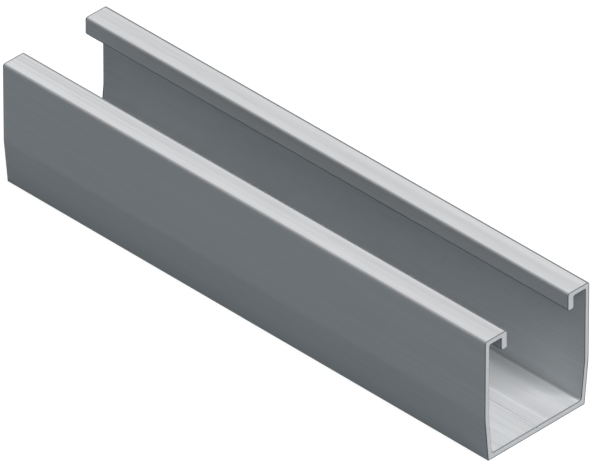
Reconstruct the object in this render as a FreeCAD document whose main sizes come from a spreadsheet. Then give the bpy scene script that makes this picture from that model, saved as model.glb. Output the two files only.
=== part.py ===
import FreeCAD, Part
from collections import namedtuple
import math
import os
import Sketcher

# A lipped channel extruded in aluminium, cut to a short length.
# +X runs along the bar, +Y across it and +Z up, towards the open slot.
# The origin is the centre of the base's underside. All lengths are in millimetres.

NODE = "trapezoidal_profile"

# Driving dimensions
SIZES = {
    "profile_length": 185.5,
    "overall_width": 40.0,
    "overall_height": 40.0,
    "flange_width": 8.3,
    "lip_depth": 5.7,
    "bend_height": 15.4,
    "foot_inset": 1.4,
    "base_thickness": 2.0,
    "wall_thickness": 1.6,
    "flange_thickness": 1.6,
    "lip_thickness": 2.2,
    "top_corner_radius": 0.8,
    "hook_corner_radius": 0.4,
    "lip_end_radius": 0.65,
    "foot_radius": 0.25,
    "heel_radius": 1.0,
    "bend_radius": 20.0,
    "mark_width": 0.6,
    "mark_depth": 0.3,
}

# Places and lengths count as the same when they lie this close together
SAME_PLACE = 1e-4

# A cut may remove this share more or less than its own volume
CUT_TOLERANCE = 0.01

# A sketch's own axes are numbered from -1 down, and the points of a line or an arc from 1 up
ACROSS_AXIS, UP_AXIS = range(-1, -3, -1)
START, END, CENTRE = range(1, 4)
ORIGIN = (ACROSS_AXIS, START)

# One face of the section: its number in the sketch, and its first and last points on the way round
Face = namedtuple("Face", "line first last")

# Where an arc runs smoothly into the faces beside it. The left half copies the right half's corners,
# so there one smooth joint settles each arc
SMOOTH_RIGHT = ("bend_foot", "bend_top", "inner_bend_top", "inner_bend_foot")
SMOOTH_LEFT = ("bend_top", "inner_bend_top")


def make_sheet(doc):
    """Write every driving dimension into a sheet, one row each."""
    sheet = doc.addObject("Spreadsheet::Sheet", "Sizes")
    for row, (name, value) in enumerate(SIZES.items(), start=1):
        sheet.set("A%d" % row, name)
        sheet.set("B%d" % row, str(value))
        sheet.setAlias("B%d" % row, name)
    doc.recompute()
    return sheet


def cross_plane(body):
    """The body's own plane across the bar."""
    for feature in body.Origin.OriginFeatures:
        if feature.Role == "YZ_Plane":
            return feature
    raise RuntimeError("the body has no YZ plane")


def new_section(body, name):
    """An empty sketch across the bar: its x is the bar's Y, its y is the bar's Z."""
    sketch = body.newObject("Sketcher::SketchObject", name)
    sketch.AttachmentSupport = [(cross_plane(body), "")]
    sketch.MapMode = "FlatFace"
    return sketch


def dimension(sketch, name, constraint, formula):
    """Add a dimension to a sketch and bind it to the sheet."""
    index = sketch.addConstraint(constraint)
    sketch.renameConstraint(index, name)
    sketch.setExpression("Constraints." + name, formula)


def require_solved(sketch):
    """Stop unless the sketch solves and nothing in it is left loose."""
    if sketch.solve() != 0 or not sketch.FullyConstrained:
        raise RuntimeError(sketch.Name + " isn't fully constrained")


def half_corners():
    """Corners of one half of the section, in order from the underside round to the floor.

    Each has a name, its place, and, where an arc follows it, a point midway along that arc.
    The bend's corners are a first guess, which the sketch's smooth joints correct.
    """
    half_width = SIZES["overall_width"] / 2
    half_base = half_width - SIZES["foot_inset"]
    half_slot = half_width - SIZES["flange_width"]
    wall = SIZES["wall_thickness"]
    lip = SIZES["lip_thickness"]
    top = SIZES["overall_height"]
    roof = top - SIZES["flange_thickness"]
    lip_end = top - SIZES["lip_depth"]
    floor = SIZES["base_thickness"]

    bend_top = SIZES["bend_height"]
    lean = math.atan2(SIZES["foot_inset"], bend_top)

    def on_bend(radius, turn):
        centre = half_width - SIZES["bend_radius"]
        return (centre + radius * math.cos(turn), bend_top - radius * math.sin(turn))

    outer = SIZES["bend_radius"]
    inner = outer - wall
    return [
        ("foot", (half_base, 0), None),
        ("bend_foot", on_bend(outer, lean), on_bend(outer, lean / 2)),
        ("bend_top", on_bend(outer, 0), None),
        ("shoulder", (half_width, top), None),
        ("brow", (half_slot, top), None),
        ("lip_front", (half_slot, lip_end), None),
        ("lip_back", (half_slot + lip, lip_end), None),
        ("hook_front", (half_slot + lip, roof), None),
        ("hook_back", (half_width - wall, roof), None),
        ("inner_bend_top", on_bend(inner, 0), on_bend(inner, lean / 2)),
        ("inner_bend_foot", on_bend(inner, lean), None),
        ("heel", (half_base - wall, floor), None),
    ]


def draw_half(sketch, side):
    """Draw the faces of one half, on the side +1 or -1, each named after its first corner."""
    faces = {}
    corners = half_corners()
    for (name, start, midway), (_, end, _) in zip(corners, corners[1:]):
        start, midway, end = (
            FreeCAD.Vector(side * place[0], place[1], 0) if place else None
            for place in (start, midway, end))
        if midway is None:
            line = sketch.addGeometry(Part.LineSegment(start, end), False)
        else:
            line = sketch.addGeometry(Part.Arc(start, midway, end), False)
        # An arc keeps its own direction, so its first point may be either of its ends
        if (sketch.getPoint(line, START) - start).Length < SAME_PLACE:
            faces[name] = Face(line, START, END)
        else:
            faces[name] = Face(line, END, START)
    return faces


def join_half(sketch, faces, smooth):
    """Join the faces of one half end to end, smoothly where an arc needs it."""
    for (_, face), (name, following) in zip(list(faces.items()), list(faces.items())[1:]):
        joint = "Tangent" if name in smooth else "Coincident"
        sketch.addConstraint(Sketcher.Constraint(
            joint, face.line, face.last, following.line, following.first))


def draw_section(body):
    """The channel's whole outline, and where its corners are, by name."""
    sketch = new_section(body, "channel_section")
    right = draw_half(sketch, 1)
    left = draw_half(sketch, -1)
    join_half(sketch, right, SMOOTH_RIGHT)
    join_half(sketch, left, SMOOTH_LEFT)

    # Every corner by name, as a right and left pair of sketch points
    corners = {
        name: ((right[name].line, right[name].first), (left[name].line, left[name].first))
        for name in right
    }
    last_right, last_left = right["inner_bend_foot"], left["inner_bend_foot"]
    corners["heel"] = ((last_right.line, last_right.last), (last_left.line, last_left.last))
    for pair in corners.values():
        sketch.addConstraint(Sketcher.Constraint("Symmetric", *pair[1], *pair[0], UP_AXIS))

    # The underside and the floor close the outline
    for name in ("foot", "heel"):
        pair = corners[name]
        line = sketch.addGeometry(Part.LineSegment(
            sketch.getPoint(*pair[1]), sketch.getPoint(*pair[0])), False)
        sketch.addConstraint(Sketcher.Constraint("Coincident", line, START, *pair[1]))
        sketch.addConstraint(Sketcher.Constraint("Coincident", line, END, *pair[0]))

    def corner(name):
        return corners[name][0]

    # The underside lies on the ground, and the leaning faces keep the wall's thickness
    sketch.addConstraint(Sketcher.Constraint("PointOnObject", *corner("foot"), ACROSS_AXIS))
    for upright in ("bend_top", "brow", "lip_back", "hook_back"):
        sketch.addConstraint(Sketcher.Constraint("Vertical", right[upright].line))
    for level in ("shoulder", "lip_front", "hook_front"):
        sketch.addConstraint(Sketcher.Constraint("Horizontal", right[level].line))
    sketch.addConstraint(Sketcher.Constraint(
        "Parallel", right["foot"].line, right["inner_bend_foot"].line))
    sketch.addConstraint(Sketcher.Constraint(
        "Coincident", right["bend_foot"].line, CENTRE, right["inner_bend_top"].line, CENTRE))

    for name, constraint in (
        ("overall_width", Sketcher.Constraint(
            "DistanceX", *corners["bend_top"][1], *corner("bend_top"), SIZES["overall_width"])),
        ("foot_inset", Sketcher.Constraint(
            "DistanceX", *corner("foot"), *corner("bend_top"), SIZES["foot_inset"])),
        ("flange_width", Sketcher.Constraint(
            "DistanceX", *corner("brow"), *corner("shoulder"), SIZES["flange_width"])),
        ("overall_height", Sketcher.Constraint(
            "DistanceY", *ORIGIN, *corner("shoulder"), SIZES["overall_height"])),
        ("bend_height", Sketcher.Constraint(
            "DistanceY", *ORIGIN, *corner("bend_top"), SIZES["bend_height"])),
        ("base_thickness", Sketcher.Constraint(
            "DistanceY", *ORIGIN, *corner("heel"), SIZES["base_thickness"])),
        ("flange_thickness", Sketcher.Constraint(
            "DistanceY", *corner("hook_front"), *corner("brow"), SIZES["flange_thickness"])),
        ("lip_depth", Sketcher.Constraint(
            "DistanceY", *corner("lip_front"), *corner("brow"), SIZES["lip_depth"])),
        ("lip_thickness", Sketcher.Constraint(
            "DistanceX", *corner("lip_front"), *corner("lip_back"), SIZES["lip_thickness"])),
        ("wall_thickness", Sketcher.Constraint(
            "DistanceX", *corner("hook_back"), *corner("shoulder"), SIZES["wall_thickness"])),
        ("bend_radius", Sketcher.Constraint("Radius", right["bend_foot"].line, SIZES["bend_radius"])),
    ):
        dimension(sketch, name, constraint, "Sizes." + name)
    require_solved(sketch)
    places = {name: [sketch.getPoint(*point) for point in pair] for name, pair in corners.items()}
    return sketch, places


def extrude_bar(body, section):
    """Run the section along the bar, half each way from its middle."""
    bar = body.newObject("PartDesign::Pad", "extruded_bar")
    bar.Profile = section
    bar.SideType = "Symmetric"
    bar.setExpression("Length", "Sizes.profile_length")
    return bar


def long_edges(shape, corners):
    """Names of the edges that run along the bar through the given corners of its section."""
    found = []
    for number, edge in enumerate(shape.Edges, start=1):
        ends = [vertex.Point for vertex in edge.Vertexes]
        for corner in corners:
            if all(math.hypot(end.y - corner.x, end.z - corner.y) < SAME_PLACE for end in ends):
                found.append("Edge%d" % number)
    if len(found) != len(corners):
        raise RuntimeError("an edge of the bar wasn't found")
    return found


def round_edges(body, base, name, corners, formula):
    """Round the long edges at the given corners to one radius from the sheet."""
    body.Document.recompute()
    rounding = body.newObject("PartDesign::Fillet", name)
    rounding.Base = (base, long_edges(base.Shape, corners))
    rounding.setExpression("Radius", formula)
    return rounding


def cut_centre_mark(body):
    """A shallow V line along the middle of the floor, which guides a drill."""
    before = body.Shape.Volume
    floor = SIZES["base_thickness"]
    half_mark = SIZES["mark_width"] / 2
    left_edge = FreeCAD.Vector(-half_mark, floor, 0)
    right_edge = FreeCAD.Vector(half_mark, floor, 0)
    bottom = FreeCAD.Vector(0, floor - SIZES["mark_depth"], 0)

    sketch = new_section(body, "centre_mark_section")
    mouth = sketch.addGeometry(Part.LineSegment(left_edge, right_edge), False)
    right_flank = sketch.addGeometry(Part.LineSegment(right_edge, bottom), False)
    left_flank = sketch.addGeometry(Part.LineSegment(bottom, left_edge), False)
    loop = (mouth, right_flank, left_flank)
    for line, following in zip(loop, loop[1:] + loop[:1]):
        sketch.addConstraint(Sketcher.Constraint("Coincident", line, END, following, START))
    sketch.addConstraint(Sketcher.Constraint("Symmetric", mouth, START, mouth, END, UP_AXIS))
    sketch.addConstraint(Sketcher.Constraint("PointOnObject", right_flank, END, UP_AXIS))
    dimension(sketch, "mark_width", Sketcher.Constraint(
        "DistanceX", mouth, START, mouth, END, SIZES["mark_width"]), "Sizes.mark_width")
    dimension(sketch, "mark_depth", Sketcher.Constraint(
        "DistanceY", right_flank, END, right_flank, START, SIZES["mark_depth"]), "Sizes.mark_depth")
    dimension(sketch, "floor_height", Sketcher.Constraint(
        "DistanceY", *ORIGIN, mouth, END, SIZES["base_thickness"]), "Sizes.base_thickness")
    require_solved(sketch)

    mark = body.newObject("PartDesign::Pocket", "centre_mark")
    mark.Profile = sketch
    mark.SideType = "Symmetric"
    mark.setExpression("Length", "Sizes.profile_length")
    body.Document.recompute()
    removed = before - body.Shape.Volume
    expected = SIZES["mark_width"] * SIZES["mark_depth"] / 2 * SIZES["profile_length"]
    if abs(removed - expected) > expected * CUT_TOLERANCE:
        raise RuntimeError("the centre mark cut %.2f mm3, not %.2f" % (removed, expected))


def make_profile(doc):
    """The whole channel: one extrusion, its rounded edges and the mark along its floor."""
    body = doc.addObject("PartDesign::Body", NODE)
    body.Label = NODE
    section, corners = draw_section(body)
    feature = extrude_bar(body, section)
    for name, places, formula in (
        ("top_corners", corners["shoulder"] + corners["brow"], "Sizes.top_corner_radius"),
        ("hook_corners", corners["hook_front"] + corners["hook_back"], "Sizes.hook_corner_radius"),
        ("lip_ends", corners["lip_front"] + corners["lip_back"], "Sizes.lip_end_radius"),
        ("feet", corners["foot"], "Sizes.foot_radius"),
        ("heels", corners["heel"], "Sizes.heel_radius"),
    ):
        feature = round_edges(body, feature, name, places, formula)
    doc.recompute()
    cut_centre_mark(body)
    return body


def require_sound(doc, body):
    """Stop if any step of the model failed, or the bar isn't one closed solid of its stated size."""
    for item in doc.Objects:
        if "Invalid" in item.State or "Error" in item.State:
            raise RuntimeError("%s failed: %s" % (item.Name, item.State))
    shape = body.Shape
    if shape.isNull() or not shape.isValid() or len(shape.Solids) != 1:
        raise RuntimeError(body.Label + " isn't one valid solid")
    box = shape.BoundBox
    for reach, name in (
        (box.XLength, "profile_length"),
        (box.YLength, "overall_width"),
        (box.ZLength, "overall_height"),
    ):
        if abs(reach - SIZES[name]) > SAME_PLACE:
            raise RuntimeError("%s is %.3f mm, not %.3f" % (name, reach, SIZES[name]))


def main():
    doc = FreeCAD.newDocument("profile")
    make_sheet(doc)
    body = make_profile(doc)
    doc.recompute()
    require_sound(doc, body)
    os.makedirs("parts", exist_ok=True)
    body.Shape.exportStep(os.path.join("parts", NODE + ".step"))
    box = body.Shape.BoundBox
    print("%s: %.2f x %.2f x %.2f mm, %.1f mm3, %d faces" % (
        NODE, box.XLength, box.YLength, box.ZLength, body.Shape.Volume, len(body.Shape.Faces)))


main()
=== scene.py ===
import math

import bpy
from mathutils import Matrix, Vector


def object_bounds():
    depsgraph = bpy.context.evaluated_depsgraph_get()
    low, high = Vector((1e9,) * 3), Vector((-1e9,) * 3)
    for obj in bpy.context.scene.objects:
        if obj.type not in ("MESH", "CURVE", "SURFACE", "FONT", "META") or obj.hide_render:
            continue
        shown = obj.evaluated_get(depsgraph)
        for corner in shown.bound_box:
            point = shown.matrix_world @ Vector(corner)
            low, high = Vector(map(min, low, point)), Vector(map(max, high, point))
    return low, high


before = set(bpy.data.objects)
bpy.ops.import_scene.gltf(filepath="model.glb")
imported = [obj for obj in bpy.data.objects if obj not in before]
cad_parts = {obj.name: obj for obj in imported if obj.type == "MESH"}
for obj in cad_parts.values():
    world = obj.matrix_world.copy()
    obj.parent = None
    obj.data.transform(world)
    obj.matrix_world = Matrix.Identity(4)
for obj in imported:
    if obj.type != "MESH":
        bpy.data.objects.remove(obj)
cad_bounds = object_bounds()

NODE = "trapezoidal_profile"
MM = 0.001

# Sizes of the bar that its bands of painted shade follow: the overall ones are the frame's
LENGTH_MM, WIDTH_MM, HEIGHT_MM = (Vector(cad_bounds[1]) - Vector(cad_bounds[0])) / MM
FLANGE_WIDTH_MM = 8.3
LIP_DEPTH_MM = 5.7
LIP_THICKNESS_MM = 2.2
FOOT_INSET_MM = 1.4
BEND_HEIGHT_MM = 15.4

# The photograph is an isometric view. A very long lens from far away comes within a pixel of it.
LENS_MM = 1200.0
SENSOR_MM = 36.0
CLIP_SPAN = 10
IMAGE_WIDTH_PX = 591
PX_PER_MM = 3.0
ISOMETRIC_FORESHORTENING = math.sqrt(2.0 / 3.0)
TOWARDS_CAMERA = Vector((1, -1, 1)).normalized()
AIM_RIGHT_MM = 0.455
AIM_UP_MM = -0.143

# Soft light of the room: the axis and the side it comes from, and its strength
ROOM_LIGHT = (
    ("X", 1, 0.30),
    ("X", -1, 0.30),
    ("Y", 1, 0.20),
    ("Z", 1, 0.30),
)

# Wide lamps: the direction towards each, and its strength
LAMPS = (
    ("near_lamp", (0.30, -0.08, 0.95), 0.47),
    ("front_lamp", (0.60, 0.10, 0.78), 6.1),
)
LAMP_COLOUR = (1.05, 0.995, 0.975)
LAMP_WIDTH = math.radians(40)

# The floor is a cool grey that glows a little. For the camera it glows more, so it looks white with a
# faint shadow.
FLOOR_HALF_M = 12.0
FLOOR_DROP_MM = 0.05
FLOOR_COLOUR = (0.101, 0.11, 0.1175, 1)
GLOW_ON_BAR = (0.157, 0.171, 0.182)
GLOW_ON_CAMERA = (0.92, 0.92, 0.92)

# Faces of the sawn ends are told from the long faces by how far their normal leans along the bar
SAWN_LEAN = 0.97
LONG_LEAN = 0.10

# Rounded long corners are painted darker than flat faces, whose normals lie near the Y or Z axis.
# The darkening is painted shade: light on the corners that look up, deep on those that look down.
# The drill line on the floor has sharp clean flanks and isn't one of them.
FLAT_FACING = 0.985
CORNER_FACING = 0.92
UPPER_CORNER_PAINTED_SHADE = 0.8
LOWER_CORNER_PAINTED_SHADE = 0.35
DRILL_LINE_MM = 1.0

# The lips' ends get a narrow band of painted shade too, dark along their lower edge
LIP_BAND_MM = 0.9
LIP_END_PAINTED_SHADE = 0.6
CLEAR_OF_LIP_MM = 0.05

# The edges round the sawn ends are broken a little, and are painted dark as a line of painted shade
ARRIS_MM = 0.2
ARRIS_SEGMENTS = 2
ARRIS_PAINTED_SHADE = 0.35
SHARP_ANGLE = math.radians(50)
SMOOTH_ANGLE = math.radians(30)
SAME_POINT_MM = 0.001
SAME_PLANE = math.radians(0.05)

# The thin dark outline that the photograph draws round the bar, painted as a band of shade: along the far
# top corner and the near lip's top, along the far end of the faces that look up, and round the lower and the
# far side of the sawn faces
OUTLINE_MM = 0.45
CORNER_OUTLINE_MM = 1.0
LIP_OUTLINE_MM = 0.9
OUTLINE_PAINTED_SHADE = 0.42

# Mill finish
METAL_COLOUR = (0.58, 0.61, 0.629)
GRAZING_COLOUR = (0.35, 0.35, 0.35, 1)
ROUGHNESS = 0.78

# Streaks that the die draws along the bar: their width, length and height in millimetres, and how much
# they change the metal's tone
DIE_LINES = (
    (2.4, 900.0, 0.007, 0.04),
    (0.9, 500.0, 0.010, 0.12),
    (0.4, 260.0, 0.006, 0.20),
    (0.2, 14.0, 0.003, 0.12),
)

# How much the tone and the roughness wander besides, as shares of the whole
CLOUD_TONE = 0.05
CLOUD_SIZE_MM = (60.0, 14.0, 14.0)
STREAK_ROUGHNESS = 0.12

# Arcs left by the saw: where its blade turns, how far apart its teeth mark and how deep, and the size of the
# patches over which the arcs waver
BLADE_CENTRE_MM = (0.0, 70.0, 110.0)
TOOTH_MARK_MM = 0.7
TOOTH_DEPTH_MM = 0.006
WAVER_SIZE_MM = 2.8
SAWN_TONE = 0.06


def box_centre():
    """The middle of the bar's box."""
    low, high = (Vector(corner) for corner in cad_bounds)
    return (low + high) / 2


def make_camera():
    """Look along the isometric diagonal from so far away that the view is nearly parallel."""
    right = Vector((0, 0, 1)).cross(TOWARDS_CAMERA).normalized()
    up = TOWARDS_CAMERA.cross(right)
    mm_per_px = ISOMETRIC_FORESHORTENING / PX_PER_MM
    distance = IMAGE_WIDTH_PX * mm_per_px * LENS_MM / SENSOR_MM * MM
    aim = box_centre() + (right * AIM_RIGHT_MM + up * AIM_UP_MM) * MM
    data = bpy.data.cameras.new("camera")
    data.lens = LENS_MM
    data.sensor_width = SENSOR_MM
    data.clip_start = distance / CLIP_SPAN
    data.clip_end = distance * CLIP_SPAN
    camera = bpy.data.objects.new("camera", data)
    facing = Matrix((right, up, TOWARDS_CAMERA)).transposed().to_4x4()
    camera.matrix_world = Matrix.Translation(aim + TOWARDS_CAMERA * distance) @ facing
    bpy.context.scene.collection.objects.link(camera)
    bpy.context.scene.camera = camera


class Nodes:
    """A tree of nodes, filled by short calls. An input takes a number, a colour or another node's output."""

    def __init__(self, tree):
        self.tree = tree
        tree.nodes.clear()

    def give(self, socket, value):
        """Join an input to another node's output, or set it to a value."""
        if isinstance(value, bpy.types.NodeSocket):
            self.tree.links.new(value, socket)
        else:
            socket.default_value = value

    def add(self, kind, inputs=None, **settings):
        """A new node of this kind with its settings and inputs."""
        node = self.tree.nodes.new(kind)
        for name, value in settings.items():
            setattr(node, name, value)
        for name, value in (inputs or {}).items():
            self.give(node.inputs[name], value)
        return node

    def math(self, operation, a, b=0.0):
        return self.add("ShaderNodeMath", {0: a, 1: b}, operation=operation).outputs[0]

    def vector_math(self, operation, a, b=(0, 0, 0)):
        return self.add("ShaderNodeVectorMath", {0: a, 1: b}, operation=operation).outputs[0]

    def scale(self, vector, factor):
        return self.add("ShaderNodeVectorMath", {0: vector, "Scale": factor}, operation="SCALE").outputs[0]

    def ramp(self, value, low, high):
        """0 up to the low value, 1 from the high value on, and smooth between them."""
        inputs = {"Value": value, "From Min": low, "From Max": high}
        return self.add("ShaderNodeMapRange", inputs, interpolation_type="SMOOTHSTEP").outputs[0]

    def blend(self, factor, a, b):
        """a where the factor is 0, b where it is 1."""
        return self.math("ADD", a, self.math("MULTIPLY", factor, self.math("SUBTRACT", b, a)))


def make_world():
    """Room light that the camera doesn't see: it sees plain white instead."""
    world = bpy.data.worlds.new("studio")
    bpy.context.scene.world = world
    world.use_nodes = True
    n = Nodes(world.node_tree)
    direction = n.add("ShaderNodeTexCoord").outputs["Generated"]
    axes = n.add("ShaderNodeSeparateXYZ", {0: direction}).outputs
    light = 0.0
    for axis, side, strength in ROOM_LIGHT:
        facing = n.math("MAXIMUM", n.math("MULTIPLY", axes[axis], side))
        share = n.math("MULTIPLY", facing, facing)
        light = n.math("ADD", light, n.math("MULTIPLY", share, strength))
    seen = n.add("ShaderNodeLightPath").outputs["Is Camera Ray"]
    light = n.math("MAXIMUM", light, seen)
    room = n.add("ShaderNodeBackground", {"Color": light})
    n.add("ShaderNodeOutputWorld", {"Surface": room.outputs[0]})


def make_lamps():
    """Wide lamps that stand for the studio's light boxes."""
    for name, direction, strength in LAMPS:
        data = bpy.data.lights.new(name, "SUN")
        data.energy = strength
        data.color = LAMP_COLOUR
        data.angle = LAMP_WIDTH
        lamp = bpy.data.objects.new(name, data)
        lamp.rotation_euler = Vector(direction).to_track_quat("Z", "Y").to_euler()
        bpy.context.scene.collection.objects.link(lamp)


def make_floor():
    """A pale floor just under the bar."""
    half = FLOOR_HALF_M
    corners = [(-half, -half, 0), (half, -half, 0), (half, half, 0), (-half, half, 0)]
    mesh = bpy.data.meshes.new("floor")
    mesh.from_pydata(corners, [], [range(len(corners))])
    material = bpy.data.materials.new("white_floor")
    material.use_nodes = True
    material.cycles.emission_sampling = "NONE"
    n = Nodes(material.node_tree)
    seen = n.add("ShaderNodeLightPath").outputs["Is Camera Ray"]
    glow = n.vector_math("MAXIMUM", GLOW_ON_BAR, n.scale(GLOW_ON_CAMERA, seen))
    paint = n.add("ShaderNodeBsdfPrincipled", {
        "Base Color": FLOOR_COLOUR,
        "Roughness": 1.0,
        "Specular IOR Level": 0.0,
        "Emission Color": glow,
        "Emission Strength": 1.0,
    })
    n.add("ShaderNodeOutputMaterial", {"Surface": paint.outputs[0]})
    mesh.materials.append(material)
    floor = bpy.data.objects.new("floor", mesh)
    floor.location.z = -FLOOR_DROP_MM * MM
    bpy.context.scene.collection.objects.link(floor)


def streaks(n, place, width, length):
    """Noise drawn out along the bar, from 0 to 1."""
    inputs = {"Vector": n.vector_math("DIVIDE", place, (length, width, width)), "Scale": 1.0, "Detail": 1.0}
    return n.add("ShaderNodeTexNoise", inputs).outputs[0]


def wander(n, noise, share):
    """A factor about 1 that wanders by this share of it, as the noise wanders about a half."""
    return n.math("ADD", n.math("MULTIPLY", n.math("SUBTRACT", noise, 0.5), share), 1.0)


def die_surface(n, place):
    """Height of the drawn surface in millimetres, its tone and its roughness, both about 1."""
    height, tone, roughness = 0.0, 1.0, 1.0
    for width, length, depth, contrast in DIE_LINES:
        lines = streaks(n, place, width, length)
        height = n.math("ADD", height, n.math("MULTIPLY", lines, depth))
        tone = n.math("MULTIPLY", tone, wander(n, lines, contrast))
        roughness = n.math("MULTIPLY", roughness, wander(n, lines, STREAK_ROUGHNESS))
    return height, tone, roughness


def sawn_surface(n, place):
    """Uneven rings around the blade's centre: their height in millimetres, and their wave from 0 to 1."""
    across = n.vector_math("MULTIPLY", place, (0, 1, 1))
    centre = {0: across, 1: BLADE_CENTRE_MM}
    reach = n.add("ShaderNodeVectorMath", centre, operation="DISTANCE").outputs["Value"]
    waver = n.add("ShaderNodeTexNoise", {"Vector": place, "Scale": 1 / WAVER_SIZE_MM}).outputs[0]
    turns = n.math("ADD", n.math("DIVIDE", reach, TOOTH_MARK_MM), waver)
    wave = n.math("SINE", n.math("MULTIPLY", turns, math.tau))
    ring = n.math("ADD", n.math("MULTIPLY", wave, 0.5), 0.5)
    return n.math("MULTIPLY", ring, TOOTH_DEPTH_MM), ring


def painted_lip_shade(n, place_axes):
    """1 at the lips' ends, where shade is painted; 0 from the band's edge up and everywhere else on the bar.
    """
    lip_back = WIDTH_MM / 2 - FLANGE_WIDTH_MM + LIP_THICKNESS_MM
    above_end = n.math("SUBTRACT", place_axes["Z"], HEIGHT_MM - LIP_DEPTH_MM)
    near_end = n.math("SUBTRACT", 1.0, n.ramp(above_end, LIP_BAND_MM / 2, LIP_BAND_MM))
    not_below = n.math("GREATER_THAN", above_end, -LIP_BAND_MM)
    on_lip = n.math("LESS_THAN", n.math("ABSOLUTE", place_axes["Y"]), lip_back + CLEAR_OF_LIP_MM)
    return n.math("MULTIPLY", n.math("MULTIPLY", near_end, not_below), on_lip)


def painted_long_outline(n, place_axes, faces_up):
    """1 in the painted shade band of the outline on faces that run along the bar and look up."""
    far_corner = n.math("GREATER_THAN", place_axes["Y"], WIDTH_MM / 2 - CORNER_OUTLINE_MM)
    far_end = n.math("LESS_THAN", place_axes["X"], OUTLINE_MM - LENGTH_MM / 2)
    near_slot_side = FLANGE_WIDTH_MM - WIDTH_MM / 2
    past_lip_top = n.math("GREATER_THAN", place_axes["Y"], near_slot_side - LIP_OUTLINE_MM)
    near_half = n.math("LESS_THAN", place_axes["Y"], 0.0)
    high_up = n.math("GREATER_THAN", place_axes["Z"], HEIGHT_MM / 2)
    near_lip = n.math("MULTIPLY", n.math("MULTIPLY", past_lip_top, near_half), high_up)
    band = n.math("MAXIMUM", n.math("MAXIMUM", far_corner, far_end), near_lip)
    return n.math("MULTIPLY", band, faces_up)


def painted_sawn_outline(n, place_axes):
    """1 in the painted shade outline of the sawn faces. Its far side leans below the bend and is upright
    above it.
    """
    lean = n.math("MULTIPLY", place_axes["Z"], FOOT_INSET_MM / BEND_HEIGHT_MM)
    side = n.math("MINIMUM", n.math("ADD", lean, WIDTH_MM / 2 - FOOT_INSET_MM), WIDTH_MM / 2)
    far_side = n.math("LESS_THAN", n.math("SUBTRACT", side, place_axes["Y"]), OUTLINE_MM)
    foot = n.math("LESS_THAN", place_axes["Z"], OUTLINE_MM)
    return n.math("MAXIMUM", far_side, foot)


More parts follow.
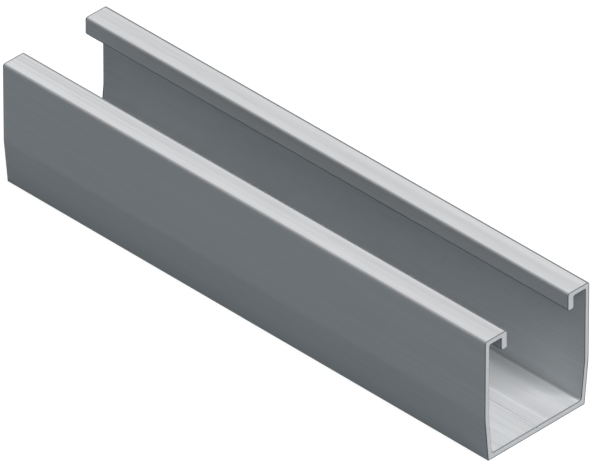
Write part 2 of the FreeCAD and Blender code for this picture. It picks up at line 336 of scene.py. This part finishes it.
def make_aluminium():
    """Mill-finish aluminium: die lines along the bar, arcs on its sawn ends, and painted shade on corners,
    edges and outlines.
    """
    material = bpy.data.materials.new("mill_aluminium")
    material.use_nodes = True
    n = Nodes(material.node_tree)
    place = n.scale(n.add("ShaderNodeTexCoord").outputs["Object"], 1 / MM)
    place_axes = n.add("ShaderNodeSeparateXYZ", {0: place}).outputs
    normal = n.add("ShaderNodeNewGeometry").outputs["True Normal"]
    faces_up = n.math("GREATER_THAN", n.add("ShaderNodeSeparateXYZ", {0: normal}).outputs["Z"], 0.0)
    along, across, up = n.add("ShaderNodeSeparateXYZ", {0: n.vector_math("ABSOLUTE", normal)}).outputs
    sawn = n.math("GREATER_THAN", along, SAWN_LEAN)
    arris = n.math("SUBTRACT", n.math("GREATER_THAN", along, LONG_LEAN), sawn)
    turned = n.ramp(n.math("MAXIMUM", across, up), FLAT_FACING, CORNER_FACING)
    off_line = n.math("GREATER_THAN", n.math("ABSOLUTE", place_axes["Y"]), DRILL_LINE_MM)
    corner = n.math("MULTIPLY", turned, off_line)

    die_height, die_tone, die_roughness = die_surface(n, place)
    saw_height, saw_ring = sawn_surface(n, place)
    cloud_place = n.vector_math("DIVIDE", place, CLOUD_SIZE_MM)
    cloud = n.add("ShaderNodeTexNoise", {"Vector": cloud_place, "Scale": 1.0, "Detail": 2.0}).outputs[0]

    long_tone_and_shade = n.math("MULTIPLY", die_tone, wander(n, cloud, CLOUD_TONE))
    # Painted shade on the rounded corners: light where they look up, deep where they look down
    corner_painted_shade = n.blend(faces_up, LOWER_CORNER_PAINTED_SHADE, UPPER_CORNER_PAINTED_SHADE)
    long_tone_and_shade = n.math("MULTIPLY", long_tone_and_shade, n.blend(corner, 1.0, corner_painted_shade))
    # Painted shade in a band along the lips' lower ends
    long_tone_and_shade = n.math("MULTIPLY", long_tone_and_shade, n.blend(painted_lip_shade(n, place_axes), 1.0, LIP_END_PAINTED_SHADE))
    # Painted shade outline on the long faces that look up
    long_tone_and_shade = n.blend(painted_long_outline(n, place_axes, faces_up), long_tone_and_shade, OUTLINE_PAINTED_SHADE)
    # Painted shade outline round the lower and far side of the sawn faces
    sawn_tone_and_shade = n.blend(painted_sawn_outline(n, place_axes), wander(n, saw_ring, SAWN_TONE), OUTLINE_PAINTED_SHADE)
    # The broken edges round the sawn ends are painted dark, a line of painted shade
    tone = n.blend(arris, n.blend(sawn, long_tone_and_shade, sawn_tone_and_shade), ARRIS_PAINTED_SHADE)
    roughness = n.math("MULTIPLY", die_roughness, ROUGHNESS)
    height = n.blend(sawn, die_height, saw_height)
    relief = n.add("ShaderNodeBump", {"Height": height, "Distance": MM, "Strength": 1.0})
    metal = n.add("ShaderNodeBsdfPrincipled", {
        "Base Color": n.scale(METAL_COLOUR, tone),
        "Metallic": 1.0,
        "Roughness": roughness,
        "Specular Tint": GRAZING_COLOUR,
        "Normal": relief.outputs[0],
    })
    n.add("ShaderNodeOutputMaterial", {"Surface": metal.outputs[0]})
    return material


def smooth_by_angle():
    """Faces are shaded smooth across every edge but the sharp ones."""
    tree = bpy.data.node_groups.new("smooth_by_angle", "GeometryNodeTree")
    for way in ("INPUT", "OUTPUT"):
        tree.interface.new_socket("Geometry", in_out=way, socket_type="NodeSocketGeometry")
    n = Nodes(tree)
    bar = n.add("NodeGroupInput").outputs[0]
    angle = n.add("GeometryNodeInputMeshEdgeAngle").outputs["Unsigned Angle"]
    gentle = n.add("FunctionNodeCompare", {"A": angle, "B": SMOOTH_ANGLE}, operation="LESS_THAN").outputs[0]
    for domain, chosen in (("FACE", True), ("EDGE", gentle)):
        inputs = {"Geometry": bar, "Shade Smooth": chosen}
        bar = n.add("GeometryNodeSetShadeSmooth", inputs, domain=domain).outputs[0]
    n.add("NodeGroupOutput", {0: bar})
    return tree


def finish_edges(node):
    """Break the sharp edges and shade the rounded ones smooth."""
    weld = node.modifiers.new("weld", "WELD")
    weld.merge_threshold = SAME_POINT_MM * MM
    flat = node.modifiers.new("flat_faces", "DECIMATE")
    flat.decimate_type = "DISSOLVE"
    flat.angle_limit = SAME_PLANE
    arris = node.modifiers.new("arris", "BEVEL")
    arris.width = ARRIS_MM * MM
    arris.segments = ARRIS_SEGMENTS
    arris.limit_method = "ANGLE"
    arris.angle_limit = SHARP_ANGLE
    arris.use_clamp_overlap = False
    arris.loop_slide = False
    smooth = node.modifiers.new("smooth", "NODES")
    smooth.node_group = smooth_by_angle()
    normals = node.modifiers.new("even_shading", "WEIGHTED_NORMAL")
    normals.keep_sharp = True


def dress_bar():
    """Give the bar its metal and finish its edges."""
    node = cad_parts[NODE]
    slot = node.material_slots[0]
    slot.link = "OBJECT"
    slot.material = make_aluminium()
    finish_edges(node)


make_camera()
make_world()
make_lamps()
make_floor()
dress_bar()
bpy.context.scene.view_settings.view_transform = "Standard"
